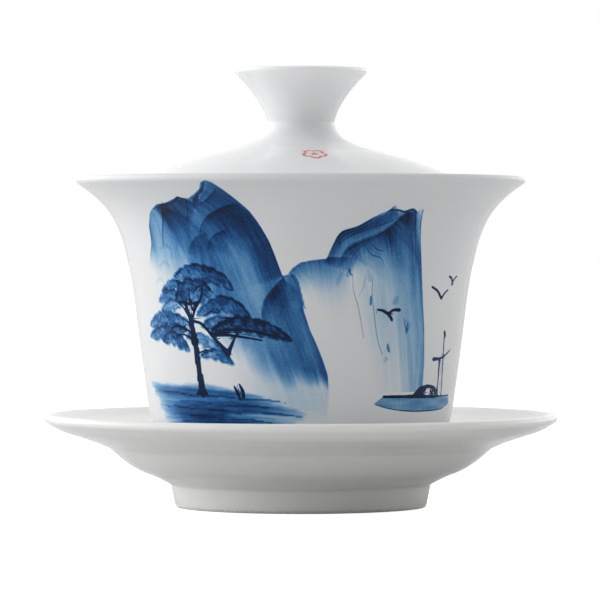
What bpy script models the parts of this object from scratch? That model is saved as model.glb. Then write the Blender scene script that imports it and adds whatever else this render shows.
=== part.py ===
"""A porcelain gaiwan: a lidded tea bowl on its saucer, standing on z = 0 round the Z axis.

Sizes are in millimetres and become metres when a mesh is made. Each piece is one outline in
the (radius, height) plane, turned round the Z axis. Heights are above the table. An outline
starts on the axis on the piece's upper face, runs out over that face and down the outer
side, and comes back to the axis along the underside.
"""

import math

import bpy
from mathutils import Vector
from mathutils.geometry import interpolate_bezier

MM = 0.001
TURN_STEPS = 48
CURVE_PIECES = 2
ROUND_PIECES = 3
DOME_PIECES = 8
AXIS_MERGE = 0.0001

# The gap left where one piece rests on another.
REST_GAP = 0.3

SAUCER_FLOOR_TOP = 6.2
SAUCER_FLOOR_RADIUS = 24.0
SAUCER_LIP_WALL = 2.1
SAUCER_WALL = 2.5
SAUCER_CREASE = (42.05, 13.0)
SAUCER_FOOT_RADIUS = 27.5
SAUCER_FOOT_WIDTH = 3.5
SAUCER_FOOT_DEPTH = 3.3
SAUCER_FOOT_ROUNDING = 0.7

BOWL_FOOT = SAUCER_FLOOR_TOP + REST_GAP
BOWL_FOOT_RADIUS = 21.2
BOWL_FOOT_WIDTH = 2.8
BOWL_FOOT_DEPTH = 2.0
BOWL_FOOT_ROUNDING = 0.5
BOWL_FLOOR_TOP = 11.2
BOWL_FLOOR_RADIUS = 18.0
BOWL_LIP_WALL = 1.8
BOWL_WALL = 2.8
# How far a foot ring's inner side slopes, and how far a floor rises towards its edge.
FOOT_SLOPE = 0.7
FLOOR_RISE = 0.3

DOME_RADIUS = 78.5
DOME_CENTRE = (0, 1.4)
DOME_WALL = 2.2
DOME_EDGE_RADIUS = 40.6
KNOB_FOOT_RADIUS = 16.5
KNOB_NECK = (7.4, 84.3)
KNOB_LIP_WALL = 1.3
KNOB_WALL = 2.4
KNOB_CUP_FLOOR = 87.6
KNOB_CUP_RADIUS = 3.4

GLAZE_ROUGHNESS = 0.12
LID_GLAZE = (0.86, 0.87, 0.87)
BOWL_GLAZE = (0.86, 0.87, 0.88)
SAUCER_GLAZE = (0.87, 0.87, 0.86)


def curve(points, pieces=CURVE_PIECES):
    """A smooth line through the points, each span cut into equal pieces."""
    knots = [Vector(point) for point in points]
    line = []
    for index in range(len(knots) - 1):
        start, end = knots[index], knots[index + 1]
        before = knots[max(index - 1, 0)]
        after = knots[min(index + 2, len(knots) - 1)]
        reach = (end - start).length / 3
        leave = start + (end - before).normalized() * reach
        arrive = end - (after - start).normalized() * reach
        line += interpolate_bezier(start, leave, arrive, end, pieces + 1)[:-1]
    return line + [knots[-1]]


def arc(centre, radius, start, end, pieces):
    """A circular arc between two angles, in radians up from the outward direction."""
    angles = [start + (end - start) * step / pieces for step in range(pieces + 1)]
    return [Vector(centre) + radius * Vector((math.cos(a), math.sin(a))) for a in angles]


def half_round(start, end):
    """The rounded edge of a wall, clockwise from one face to the other, without its ends."""
    middle = (start + end) / 2
    out = start - middle
    angle = math.atan2(out.y, out.x)
    return arc(middle, out.length, angle, angle - math.pi, ROUND_PIECES)[1:-1]


def inner_face(outer, first_wall, last_wall):
    """The far face of a wall, from the end of an outer line back to its start."""
    face = []
    last = len(outer) - 1
    for index, point in enumerate(outer):
        along = (outer[min(index + 1, last)] - outer[max(index - 1, 0)]).normalized()
        wall = first_wall + (last_wall - first_wall) * index / last
        face.append(point + Vector((along.y, -along.x)) * wall)
    face.reverse()
    return face


def rounded(corners, radius):
    """A line through the corners, each inner corner rounded by a short curve."""
    knots = [Vector(corner) for corner in corners]
    line = [knots[0]]
    for before, corner, after in zip(knots, knots[1:], knots[2:]):
        start = corner + (before - corner).normalized() * radius
        end = corner + (after - corner).normalized() * radius
        line += interpolate_bezier(start, corner, corner, end, ROUND_PIECES)
    return line + [knots[-1]]


def foot_ring(top, radius, bottom, width, depth, rounding):
    """From the top of a foot ring's outer side, under the ring, to the axis."""
    recess = bottom + depth
    corners = [
        top,
        (radius, bottom),
        (radius - width, bottom),
        (radius - width - FOOT_SLOPE, recess),
        (0, recess),
    ]
    return rounded(corners, rounding)[1:]


def saucer_outline():
    """A flat floor, a bowed side, a crease and a wide flange, on a foot ring."""
    flange = curve([(55.8, 18.6), (53.0, 17.0), (49.3, 15.7), (45.2, 14.35), SAUCER_CREASE])
    side = curve([SAUCER_CREASE, (38.9, 10.3), (35.85, 8.3), (32.0, 6.7), (28.6, 5.0)])
    under = flange + side[1:]
    over = inner_face(under[:-1], SAUCER_LIP_WALL, SAUCER_WALL)
    floor = [Vector((0, SAUCER_FLOOR_TOP)), Vector((SAUCER_FLOOR_RADIUS, SAUCER_FLOOR_TOP))]
    foot = foot_ring(
        under[-1],
        SAUCER_FOOT_RADIUS,
        0,
        SAUCER_FOOT_WIDTH,
        SAUCER_FOOT_DEPTH,
        SAUCER_FOOT_ROUNDING,
    )
    return floor + over + half_round(over[-1], under[0]) + under + foot


def bowl_outline():
    """A deep cup with a flared rim, drawn in at the bottom to a low foot ring."""
    flare = [(48.95, 70.9), (46.3, 69.0), (43.15, 66.05), (40.75, 62.5), (38.8, 57.3)]
    body = [(37.0, 48.5), (35.6, 37.9), (34.2, 27.4), (32.7, 18.6), (29.9, 12.6), (22.6, 9.6)]
    outer = curve(flare + body)
    inner = inner_face(outer[:-1], BOWL_LIP_WALL, BOWL_WALL)
    floor_edge = Vector((BOWL_FLOOR_RADIUS, BOWL_FLOOR_TOP + FLOOR_RISE))
    floor = [Vector((0, BOWL_FLOOR_TOP)), floor_edge]
    foot = foot_ring(
        outer[-1],
        BOWL_FOOT_RADIUS,
        BOWL_FOOT,
        BOWL_FOOT_WIDTH,
        BOWL_FOOT_DEPTH,
        BOWL_FOOT_ROUNDING,
    )
    return floor + inner + half_round(inner[-1], outer[0]) + outer + foot


def knob_outline(dome_start):
    """A hollow trumpet that narrows to a pinched neck and flares out into the dome."""
    trumpet = curve(
        [(14.4, 95.2), (12.75, 93.5), (10.55, 90.9), (8.8, 88.2), (7.7, 85.7), KNOB_NECK]
    )
    flare = curve([KNOB_NECK, (8.1, 82.4), (9.5, 80.9), (12.0, 79.6), dome_start])
    cup = inner_face(trumpet[:7], KNOB_LIP_WALL, KNOB_WALL)
    cup_edge = Vector((KNOB_CUP_RADIUS, KNOB_CUP_FLOOR + FLOOR_RISE))
    floor = [Vector((0, KNOB_CUP_FLOOR)), cup_edge]
    return floor + cup + half_round(cup[-1], trumpet[0]) + trumpet + flare[1:-1]


def lid_outline():
    """A shallow dome of even wall, with the knob on top and a rounded edge."""
    edge = math.acos(DOME_EDGE_RADIUS / DOME_RADIUS)
    knob_foot = math.acos(KNOB_FOOT_RADIUS / DOME_RADIUS)
    dome = arc(DOME_CENTRE, DOME_RADIUS, knob_foot, edge, DOME_PIECES)
    under = arc(DOME_CENTRE, DOME_RADIUS - DOME_WALL, edge, math.pi / 2, DOME_PIECES)
    return knob_outline(dome[0]) + dome + half_round(dome[-1], under[0]) + under


def glaze(name, colour):
    """Glazed porcelain: glossy, and not a metal."""
    material = bpy.data.materials.new(name)
    material.use_nodes = True
    material.diffuse_color = (*colour, 1)
    shader = material.node_tree.nodes["Principled BSDF"]
    shader.inputs["Base Color"].default_value = (*colour, 1)
    shader.inputs["Roughness"].default_value = GLAZE_ROUGHNESS
    shader.inputs["Metallic"].default_value = 0
    return material


def turned(name, outline, base, material, collection):
    """The outline turned round the Z axis, with the piece's origin at its base."""
    points = [(point.x * MM, 0, (point.y - base) * MM) for point in outline]
    edges = [(index, index + 1) for index in range(len(points) - 1)]
    mesh = bpy.data.meshes.new(name)
    mesh.from_pydata(points, edges, [])
    mesh.materials.append(material)
    piece = bpy.data.objects.new(name, mesh)
    piece.location.z = base * MM
    collection.objects.link(piece)
    screw = piece.modifiers.new("Turn", "SCREW")
    screw.steps = TURN_STEPS
    screw.render_steps = TURN_STEPS
    screw.use_merge_vertices = True
    screw.merge_threshold = AXIS_MERGE
    screw.use_smooth_shade = True
    return piece


def stand_on(piece, support):
    """Parents a piece to what it rests on, and leaves it where it is."""
    piece.parent = support
    piece.location.z -= support.location.z


def clear_scene():
    for leftover in list(bpy.data.objects):
        bpy.data.objects.remove(leftover, do_unlink=True)


def main():
    clear_scene()
    collection = bpy.data.collections.new("gaiwan")
    bpy.context.scene.collection.children.link(collection)

    lid_base = DOME_CENTRE[1] + math.sqrt(DOME_RADIUS**2 - DOME_EDGE_RADIUS**2) - DOME_WALL
    saucer_glaze = glaze("saucer_glaze", SAUCER_GLAZE)
    bowl_glaze = glaze("bowl_glaze", BOWL_GLAZE)
    lid_glaze = glaze("lid_glaze", LID_GLAZE)

    saucer = turned("saucer", saucer_outline(), 0, saucer_glaze, collection)
    bowl = turned("bowl", bowl_outline(), BOWL_FOOT, bowl_glaze, collection)
    lid = turned("lid", lid_outline(), lid_base, lid_glaze, collection)
    stand_on(lid, bowl)
    stand_on(bowl, saucer)


main()
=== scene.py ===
"""The looks of a porcelain gaiwan with a blue landscape painted on its bowl.

The three pieces are turned from the same outlines as the CAD solids, far finer. Their sizes
are in millimetres, heights above the table, and they become metres when a mesh is made. The
painting is worked out by strokes for each point of the bowl's wall, in millimetres: u runs
round the wall to the right from the front, and z is the height.
"""

import math

import bpy
import numpy as np
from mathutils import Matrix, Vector
from mathutils.geometry import interpolate_bezier


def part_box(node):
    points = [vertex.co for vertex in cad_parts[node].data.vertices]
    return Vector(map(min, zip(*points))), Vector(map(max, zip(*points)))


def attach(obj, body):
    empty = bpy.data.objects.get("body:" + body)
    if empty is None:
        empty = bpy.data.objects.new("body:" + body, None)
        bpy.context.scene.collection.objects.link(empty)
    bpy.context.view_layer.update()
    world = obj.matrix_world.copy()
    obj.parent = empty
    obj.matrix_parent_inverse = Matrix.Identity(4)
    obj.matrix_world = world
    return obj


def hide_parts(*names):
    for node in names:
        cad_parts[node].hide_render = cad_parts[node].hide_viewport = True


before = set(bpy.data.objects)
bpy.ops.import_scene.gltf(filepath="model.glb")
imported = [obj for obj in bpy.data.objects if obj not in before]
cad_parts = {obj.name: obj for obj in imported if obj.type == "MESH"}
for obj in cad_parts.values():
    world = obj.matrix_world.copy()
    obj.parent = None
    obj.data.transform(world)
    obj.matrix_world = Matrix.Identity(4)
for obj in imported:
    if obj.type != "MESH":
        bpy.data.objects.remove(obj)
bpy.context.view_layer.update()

MM = 0.001

# ---------------------------------------------------------------- sizes shared with the CAD
REST_GAP = 0.3
SAUCER_FLOOR_TOP = 6.2
SAUCER_FLOOR_RADIUS = 24.0
SAUCER_LIP_WALL = 2.1
SAUCER_WALL = 2.5
SAUCER_CREASE = (42.05, 13.0)
SAUCER_FOOT_RADIUS = 27.5
SAUCER_FOOT_WIDTH = 3.5
SAUCER_FOOT_DEPTH = 3.3
SAUCER_FOOT_ROUNDING = 0.7
BOWL_FOOT = SAUCER_FLOOR_TOP + REST_GAP
BOWL_FOOT_RADIUS = 21.2
BOWL_FOOT_WIDTH = 2.8
BOWL_FOOT_DEPTH = 2.0
BOWL_FOOT_ROUNDING = 0.5
BOWL_FLOOR_TOP = 11.2
BOWL_FLOOR_RADIUS = 18.0
BOWL_LIP_WALL = 1.8
BOWL_WALL = 2.8
FOOT_SLOPE = 0.7
FLOOR_RISE = 0.3
DOME_RADIUS = 78.5
DOME_CENTRE = (0, 1.4)
DOME_WALL = 2.2
DOME_EDGE_RADIUS = 40.6
KNOB_FOOT_RADIUS = 16.5
KNOB_NECK = (7.4, 84.3)
KNOB_LIP_WALL = 1.3
KNOB_WALL = 2.4
KNOB_CUP_FLOOR = 87.6
KNOB_CUP_RADIUS = 3.4

# ---------------------------------------------------------------- how fine the meshes are
CURVE_PIECES = 16
ROUND_PIECES = 12
DOME_PIECES = 48
PLAIN_STEPS = 240
PATH_PIECES = 6
PAINT_STEP = 0.33
PLAIN_STEP = 0.8
FLOOR_STEP = 2.4
BACK_STEP = math.radians(3.4)

# The painted part of the wall, and the radius at which u is a true length.
PAINT_FROM = math.radians(-82)
PAINT_TO = math.radians(75)
PAINT_RADIUS = 36.0
PAINT_LOWEST = 17.5


# ================================================================ outlines
def curve(points, pieces=CURVE_PIECES):
    """A smooth line through the points, each span cut into equal pieces."""
    knots = [Vector(point) for point in points]
    line = []
    for index in range(len(knots) - 1):
        start, end = knots[index], knots[index + 1]
        before = knots[max(index - 1, 0)]
        after = knots[min(index + 2, len(knots) - 1)]
        reach = (end - start).length / 3
        leave = start + (end - before).normalized() * reach
        arrive = end - (after - start).normalized() * reach
        line += interpolate_bezier(start, leave, arrive, end, pieces + 1)[:-1]
    return line + [knots[-1]]


def arc(centre, radius, start, end, pieces):
    """A circular arc between two angles, in radians up from the outward direction."""
    angles = [start + (end - start) * step / pieces for step in range(pieces + 1)]
    return [Vector(centre) + radius * Vector((math.cos(a), math.sin(a))) for a in angles]


def half_round(start, end):
    """The rounded edge of a wall, clockwise from one face to the other, without its ends."""
    middle = (start + end) / 2
    out = start - middle
    angle = math.atan2(out.y, out.x)
    return arc(middle, out.length, angle, angle - math.pi, ROUND_PIECES)[1:-1]


def inner_face(outer, first_wall, last_wall):
    """The far face of a wall, from the end of an outer line back to its start."""
    face = []
    last = len(outer) - 1
    for index, point in enumerate(outer):
        along = (outer[min(index + 1, last)] - outer[max(index - 1, 0)]).normalized()
        wall = first_wall + (last_wall - first_wall) * index / last
        face.append(point + Vector((along.y, -along.x)) * wall)
    face.reverse()
    return face


def rounded(corners, radius):
    """A line through the corners, each inner corner rounded by a short curve."""
    knots = [Vector(corner) for corner in corners]
    line = [knots[0]]
    for before, corner, after in zip(knots, knots[1:], knots[2:]):
        start = corner + (before - corner).normalized() * radius
        end = corner + (after - corner).normalized() * radius
        line += interpolate_bezier(start, corner, corner, end, ROUND_PIECES)
    return line + [knots[-1]]


def foot_ring(top, radius, bottom, width, depth, rounding):
    """From the top of a foot ring's outer side, under the ring, to the axis."""
    recess = bottom + depth
    corners = [
        top,
        (radius, bottom),
        (radius - width, bottom),
        (radius - width - FOOT_SLOPE, recess),
        (0, recess),
    ]
    return rounded(corners, rounding)


def resampled(line, spacing):
    """Points at even spacing along a line, both ends kept."""
    points = np.array([tuple(point) for point in line])
    lengths = np.hypot(*np.diff(points, axis=0).T)
    along = np.concatenate([[0], np.cumsum(lengths)])
    count = max(2, round(along[-1] / spacing) + 1)
    places = np.linspace(0, along[-1], count)
    return np.stack([np.interp(places, along, points[:, axis]) for axis in (0, 1)], 1)


def joined(*sections):
    """One outline from sections that each start where the one before ends."""
    return np.concatenate([section[:-1] for section in sections[:-1]] + [sections[-1]])


def kept_in(outline, node):
    """The outline, held inside the box of the faceted CAD part that it follows."""
    low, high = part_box(node)
    outline[:, 0] = np.minimum(outline[:, 0], min(high.x, high.y) / MM)
    outline[:, 1] = np.clip(outline[:, 1], low.z / MM, high.z / MM)
    return outline


def saucer_outline():
    flange = curve([(55.8, 18.6), (53.0, 17.0), (49.3, 15.7), (45.2, 14.35), SAUCER_CREASE])
    side = curve([SAUCER_CREASE, (38.9, 10.3), (35.85, 8.3), (32.0, 6.7), (28.6, 5.0)])
    under = flange + side[1:]
    over = inner_face(under[: -CURVE_PIECES // 2], SAUCER_LIP_WALL, SAUCER_WALL)
    well_edge = Vector((SAUCER_FLOOR_RADIUS, SAUCER_FLOOR_TOP))
    well = curve([well_edge, (26.6, 7.0), over[0]])
    floor = [Vector((0, SAUCER_FLOOR_TOP)), well_edge]
    lip = [over[-1]] + half_round(over[-1], under[0]) + [under[0]]
    foot = foot_ring(
        under[-1], SAUCER_FOOT_RADIUS, 0, SAUCER_FOOT_WIDTH, SAUCER_FOOT_DEPTH, SAUCER_FOOT_ROUNDING
    )
    return joined(
        resampled(floor, FLOOR_STEP),
        resampled(well + over[1:], PLAIN_STEP),
        resampled(lip, 0.3),
        resampled(under, 0.6),
        resampled(foot, 0.4),
    )


def bowl_outer():
    flare = [(48.95, 70.9), (46.3, 69.0), (43.15, 66.05), (40.75, 62.5), (38.8, 57.3)]
    body = [(37.0, 48.5), (35.6, 37.9), (34.2, 27.4), (32.7, 18.6), (29.9, 12.6), (22.6, 9.6)]
    return curve(flare + body)


def bowl_outline():
    """The outline, and the rows of it that carry the painting."""
    outer = bowl_outer()
    inner = inner_face(outer[: -CURVE_PIECES // 2], BOWL_LIP_WALL, BOWL_WALL)
    floor_edge = Vector((BOWL_FLOOR_RADIUS, BOWL_FLOOR_TOP + FLOOR_RISE))
    floor = [Vector((0, BOWL_FLOOR_TOP)), (9, BOWL_FLOOR_TOP + 0.1), floor_edge, inner[0]]
    lip = [inner[-1]] + half_round(inner[-1], outer[0]) + [outer[0]]
    painted = [point for point in outer if point.y > PAINT_LOWEST]
    lower = [painted[-1]] + outer[len(painted) :]
    foot = foot_ring(
        outer[-1], BOWL_FOOT_RADIUS, BOWL_FOOT, BOWL_FOOT_WIDTH, BOWL_FOOT_DEPTH, BOWL_FOOT_ROUNDING
    )
    sections = [
        resampled(curve(floor), FLOOR_STEP),
        resampled(inner, 2.5),
        resampled(lip, 0.35),
        resampled(painted, PAINT_STEP),
        resampled(lower, 1.0),
        resampled(foot, 1.1),
    ]
    first = sum(len(section) - 1 for section in sections[:3])
    return joined(*sections), slice(first, first + len(sections[3]))


def knob_sections(dome_start):
    trumpet = curve(
        [(14.4, 95.2), (12.75, 93.5), (10.55, 90.9), (8.8, 88.2), (7.7, 85.7), KNOB_NECK]
    )
    flare = curve([KNOB_NECK, (8.1, 82.4), (9.5, 80.9), (12.0, 79.6), dome_start])
    cup = inner_face(trumpet[: 3 * CURVE_PIECES + 1], KNOB_LIP_WALL, KNOB_WALL)
    cup_edge = Vector((KNOB_CUP_RADIUS, KNOB_CUP_FLOOR + FLOOR_RISE))
    floor = curve([Vector((0, KNOB_CUP_FLOOR)), cup_edge, cup[0]])
    lip = [cup[-1]] + half_round(cup[-1], trumpet[0]) + [trumpet[0]]
    return [
        resampled(floor + cup[1:], 0.7),
        resampled(lip, 0.2),
        resampled(trumpet, 0.4),
        resampled(flare, 0.4),
    ]


def lid_outline():
    edge = math.acos(DOME_EDGE_RADIUS / DOME_RADIUS)
    knob_foot = math.acos(KNOB_FOOT_RADIUS / DOME_RADIUS)
    dome = arc(DOME_CENTRE, DOME_RADIUS, knob_foot, edge, DOME_PIECES)
    under = arc(DOME_CENTRE, DOME_RADIUS - DOME_WALL, edge, math.pi / 2, DOME_PIECES)
    rim = [dome[-1]] + half_round(dome[-1], under[0]) + [under[0]]
    return joined(
        *knob_sections(dome[0]),
        resampled(dome, PLAIN_STEP),
        resampled(rim, 0.35),
        resampled(under, 1.2),
    )


# ================================================================ turned meshes
def turned(name, outline, angles):
    """The outline turned round Z, with a ring of points at each of its inner rows."""
    rings = outline[1:-1]
    radius, height = rings[:, 0:1], rings[:, 1:2]
    x = radius * np.sin(angles)
    y = -radius * np.cos(angles)
    z = np.broadcast_to(height, x.shape)
    points = np.stack([x, y, z], 2).reshape(-1, 3)
    ends = np.array([(0, 0, outline[0, 1]), (0, 0, outline[-1, 1])])
    around = len(angles)
    row = np.arange(len(rings) - 1)[:, None] * around
    here = np.arange(around)[None]
    beyond = (here + 1) % around
    quads = np.stack([row + here, row + around + here, row + around + beyond, row + beyond], 2)
    faces = quads.reshape(-1, 4).tolist()
    top = len(points)
    last_row = (len(rings) - 1) * around
    for index in range(around):
        after = (index + 1) % around
        faces.append((top, index, after))
        faces.append((top + 1, last_row + after, last_row + index))
    mesh = bpy.data.meshes.new(name)
    mesh.from_pydata((np.concatenate([points, ends]) * MM).tolist(), [], faces)
    mesh.shade_smooth()
    piece = bpy.data.objects.new(name, mesh)
    bpy.context.scene.collection.objects.link(piece)
    return piece


def even_angles(count):
    return np.arange(count) * 2 * math.pi / count


def painted_angles():
    """Close together over the painting, wide apart behind it, counted from the front."""
    front_count = round((PAINT_TO - PAINT_FROM) * PAINT_RADIUS / PAINT_STEP)
    front = np.linspace(PAINT_FROM, PAINT_TO, front_count)
    back_span = 2 * math.pi - (PAINT_TO - PAINT_FROM)
    back_count = round(back_span / BACK_STEP)
    back = PAINT_TO + back_span * np.arange(1, back_count) / back_count
    return np.concatenate([front, back]), front_count


# ================================================================ the painter's tools
# A distance that stands for no edge or line nearby, and how far off its middle a line is held.
FAR = 9.0
LINE_REACH = 0.9
# How far the ends of a shade and of a stroke fade, as a share of the path's length.
SHADE_TAPER = 0.05
STROKE_TAPER = 0.04
# The darker edge of a wash: how wide it is, and how much more pigment it holds.
WET_EDGE_WIDTH = 0.45
WET_EDGE_GAIN = 0.55
INK_DENSITY = 3.8
NEEDLE_LINE_DENSITY = 2.2


def soft_step(low, high, value):
    """0 below low, 1 above high, smooth between."""
    share = np.clip((value - low) / (high - low), 0, 1)
    return share * share * (3 - 2 * share)


def noise(x, y, seed):
    """Smooth noise from -1 to 1 over a plane, the same on every run."""
    column, row = np.floor(x), np.floor(y)
    right, up = x - column, y - row
    right = right * right * (3 - 2 * right)
    up = up * up * (3 - 2 * up)

    def corner(i, j):
        """A scattered number from -1 to 1 for a corner of the grid."""
        turn = np.sin((column + i) * 127.1 + (row + j) * 311.7 + seed * 74.7) * 43758.5453
        return 2 * (turn - np.floor(turn)) - 1

    low = corner(0, 0) * (1 - right) + corner(1, 0) * right
    high = corner(0, 1) * (1 - right) + corner(1, 1) * right
    return low * (1 - up) + high * up


def bristles(across, along, seed):
    """The streaks that a brush's hairs leave, from -1 to 1."""
    fine = noise(across / 0.45, along / 9, seed)
    broad = noise(across / 1.3, along / 16, seed + 1)
    return 0.5 * fine + 0.6 * broad


def spread(values, along):
    """A value that changes evenly along a path, through the ones listed."""
    values = np.atleast_1d(values)
    return np.interp(along, np.linspace(0, 1, len(values)), values)


def tapered(along, share):
    """0 at the two ends of a path, and 1 from a share of its length inwards."""
    return soft_step(0, share, along) * soft_step(0, share, 1 - along)


def smooth_path(points):
    """The points of a smooth line, ready for the sums that find how far off it a place is."""
    return np.array([tuple(point) for point in curve(points, PATH_PIECES)])


class Painting:
    """Pigment on the bowl's wall, held for each point of its painted part.

    body is pigment that ends at a crisp edge, and land the distance inside that edge. wash
    is pigment with soft edges. A thin line is held as the signed distance off its middle, its
    half width and its density. across and along give the way the brush ran, for the hairlines
    that the glaze shader adds.
    """

    def __init__(self, u, z):
        self.u = u
        self.z = z
        self.body = np.zeros(len(u))
        self.wash = np.zeros(len(u))
        self.land = np.full(len(u), -FAR)
        self.line_off = np.zeros(len(u))
        self.line_half = np.full(len(u), -FAR)
        self.line_density = np.zeros(len(u))
        self.across = u.copy()
        self.along = z.copy()

    def near(self, points, margin):
        """Which points lie within a margin of a path."""
        low, high = points.min(0) - margin, points.max(0) + margin
        wide = (self.u > low[0]) & (self.u < high[0])
        return np.flatnonzero(wide & (self.z > low[1]) & (self.z < high[1]))

    def beside(self, points, where):
        """The distance from a path (+ to its left), how far along it, its length, and the
        distance straight off its nearest stretch, which leaves out any way past its ends."""
        start, step = points[:-1], np.diff(points, axis=0)
        length = np.hypot(step[:, 0], step[:, 1])
        to_u = self.u[where][:, None] - start[:, 0]
        to_z = self.z[where][:, None] - start[:, 1]
        share = np.clip((to_u * step[:, 0] + to_z * step[:, 1]) / length**2, 0, 1)
        off_u = to_u - share * step[:, 0]
        off_z = to_z - share * step[:, 1]
        distance = np.hypot(off_u, off_z)
        nearest = distance.argmin(1)
        pick = np.arange(len(where)), nearest
        cross = step[nearest, 0] * off_z[pick] - step[nearest, 1] * off_u[pick]
        off = distance[pick] * np.sign(cross)
        passed = np.cumsum(length)[nearest] - length[nearest] * (1 - share[pick])
        return off, passed / length.sum(), length.sum(), cross / length[nearest]

    def shade(self, path, tone, reach, streaks, grain, seed):
        """Pigment darkest along a path and thinning out below it, streaked along or across."""
        points = smooth_path(path)
        where = self.near(points, 2.2 * np.max(reach))
        off, along, length, _ = self.beside(points, where)
        runs_left = path[0][0] > path[-1][0]
        inside = off if runs_left else -off
        deep = np.maximum(inside, 0)
        run = along * length
        marks = bristles(deep, run, seed) if streaks == "along" else bristles(run, deep, seed)
        thinning = np.exp(-((deep / spread(reach, along)) ** 1.5))
        wet_edge = 1 + WET_EDGE_GAIN * np.exp(-deep / WET_EDGE_WIDTH)
        cover = soft_step(-0.2, 0.15, inside)
        ends = tapered(along, SHADE_TAPER)
        pigment = spread(tone, along) * thinning * wet_edge * cover * ends
        self.body[where] += pigment * (1 + grain * marks)

    def shade_all(self, shades, first_seed):
        """Lays shades in order, each with its path, tone, reach, way of streaks and grain."""
        for index, (path, tone, reach, streaks, grain) in enumerate(shades):
            self.shade(path, tone, reach, streaks, grain, first_seed + index)

    def stroke(self, path, width, tone, grain=0.5, soft=0.35, seed=0):
        """One pull of a loaded brush, streaked along its length."""
        points = smooth_path(path)
        where = self.near(points, np.max(width))
        off, along, length, _ = self.beside(points, where)
        half = spread(width, along) / 2 * (1 + 0.15 * noise(along * length / 2.5, seed, seed))
        ratio = np.abs(off) / np.maximum(half, 0.05)
        cover = 1 - soft_step(1 - soft, 1 + soft, ratio)
        ends = tapered(along, STROKE_TAPER)
        marks = bristles(off, along * length, seed)
        pigment = spread(tone, along) * cover * ends * (1 + grain * marks)
        self.wash[where] += np.maximum(pigment, 0)

    def line(self, path, width, density=INK_DENSITY, ragged=0.0, seed=0):
        """A thin line, its width listed from one end to the other."""
        points = smooth_path(path)
        where = self.near(points, np.max(width) + 1)
        off, along, length, straight = self.beside(points, where)
        past_end = np.sqrt(np.maximum(off**2 - straight**2, 0))
        half = spread(width, along) / 2 * (1 + ragged * noise(along * length / 0.9, seed, seed))
        self.lay_line(where, straight, half - past_end, density)

    def lay_line(self, where, off, half, density):
        """Keeps the line that each point lies deepest inside."""
        held = self.line_half[where] - np.abs(self.line_off[where])
        deeper = (half - np.abs(off) > held) & (np.abs(off) < LINE_REACH)
        chosen = where[deeper]
        self.line_off[chosen] = off[deeper]
        self.line_half[chosen] = half[deeper]
        self.line_density[chosen] = density

    def edge_of(self, outline):
        """The distance inside a closed outline, less than 0 outside it."""
        points = np.array(outline + outline[:1], float)
        where = np.arange(len(self.u))
        off = self.beside(points, where)[0]
        odd = np.zeros(len(self.u), bool)
        for (u0, z0), (u1, z1) in zip(points, points[1:]):
            if z0 == z1:
                continue
            crosses = (self.z < z0) != (self.z < z1)
            odd ^= crosses & (self.u < u0 + (u1 - u0) * (self.z - z0) / (z1 - z0))
        return np.where(odd, np.abs(off), -np.abs(off))

    def allow(self, outline):
        """Body pigment may lie inside this outline, up to its crisp edge."""
        self.land = np.maximum(self.land, self.edge_of(outline))

    def pad(self, spine, up, down, tone, seed):
        """A cloud of pine needles: rows of dark scallops, thinning out towards its ragged base."""
        points = smooth_path(spine)
        where = self.near(points, 1.6 * max(up, down) + 1)
        height, along, length, _ = self.beside(points, where)
        run = along * length
        swell = np.clip(1 - (2 * along - 1) ** 2, 0, 1) ** 0.72
        warped = run + 0.8 * noise(run / 1.6, 0.5, seed)
        bumps = np.abs(np.sin(1.5 * warped + seed))
        fringe = 0.08 * noise(run / 0.5, height / 0.5, seed + 5)
        above = up * swell * (0.84 + 0.24 * bumps) - height + fringe
        hanging = np.abs(np.sin(1.1 * warped + 2.0 * seed)) + 0.3 * noise(run / 0.9, 0.5, seed)
        below = height + down * swell * (0.62 + 0.5 * hanging) + fringe
        inside = np.minimum(above, below)
        shift = 0.5 * np.sin(1.3 * warped + seed + 2.1)
        shift = shift + 0.3 * noise(run / 0.8, height / 0.8, seed + 6)
        row = np.maximum(above, 0) / 1.05 + shift * soft_step(0.2, 0.8, above)
        saw = np.exp(-3.0 * (row - np.floor(row)))
        needles = noise((run + 0.6 * height) / 0.40, height / 1.0, seed)
        mottled = noise(run / 1.4, height / 0.8, seed + 8)
        pigment = tone * (0.95 + 0.9 * saw) * (1 + 0.35 * needles + 0.45 * mottled)
        pigment *= 0.75 + 0.25 * soft_step(0, 0.9, below)
        kept = np.where(inside > 0, 0.35, 1)
        cover = soft_step(-0.5, -0.1, inside)
        self.body[where] = self.body[where] * kept + np.maximum(pigment, 0) * cover
        self.wash[where] *= kept
        self.land[where] = np.maximum(self.land[where], inside)
        crown = 0.15 * noise(run / 1.4, 3.5, seed + 2)
        self.lay_line(where, above - 0.12, np.where(below > 0.1, crown, -FAR), NEEDLE_LINE_DENSITY)
        base = 0.02 + 0.18 * noise(run / 1.1, 5.5, seed + 3)
        self.lay_line(where, below - 0.12, np.where(above > 0.1, base, -FAR), NEEDLE_LINE_DENSITY)


# ================================================================ the landscape
# How far right the left mountain and its bank reach.
LEFT_PART_END = 7
BANK_TOP = 27.5


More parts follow.
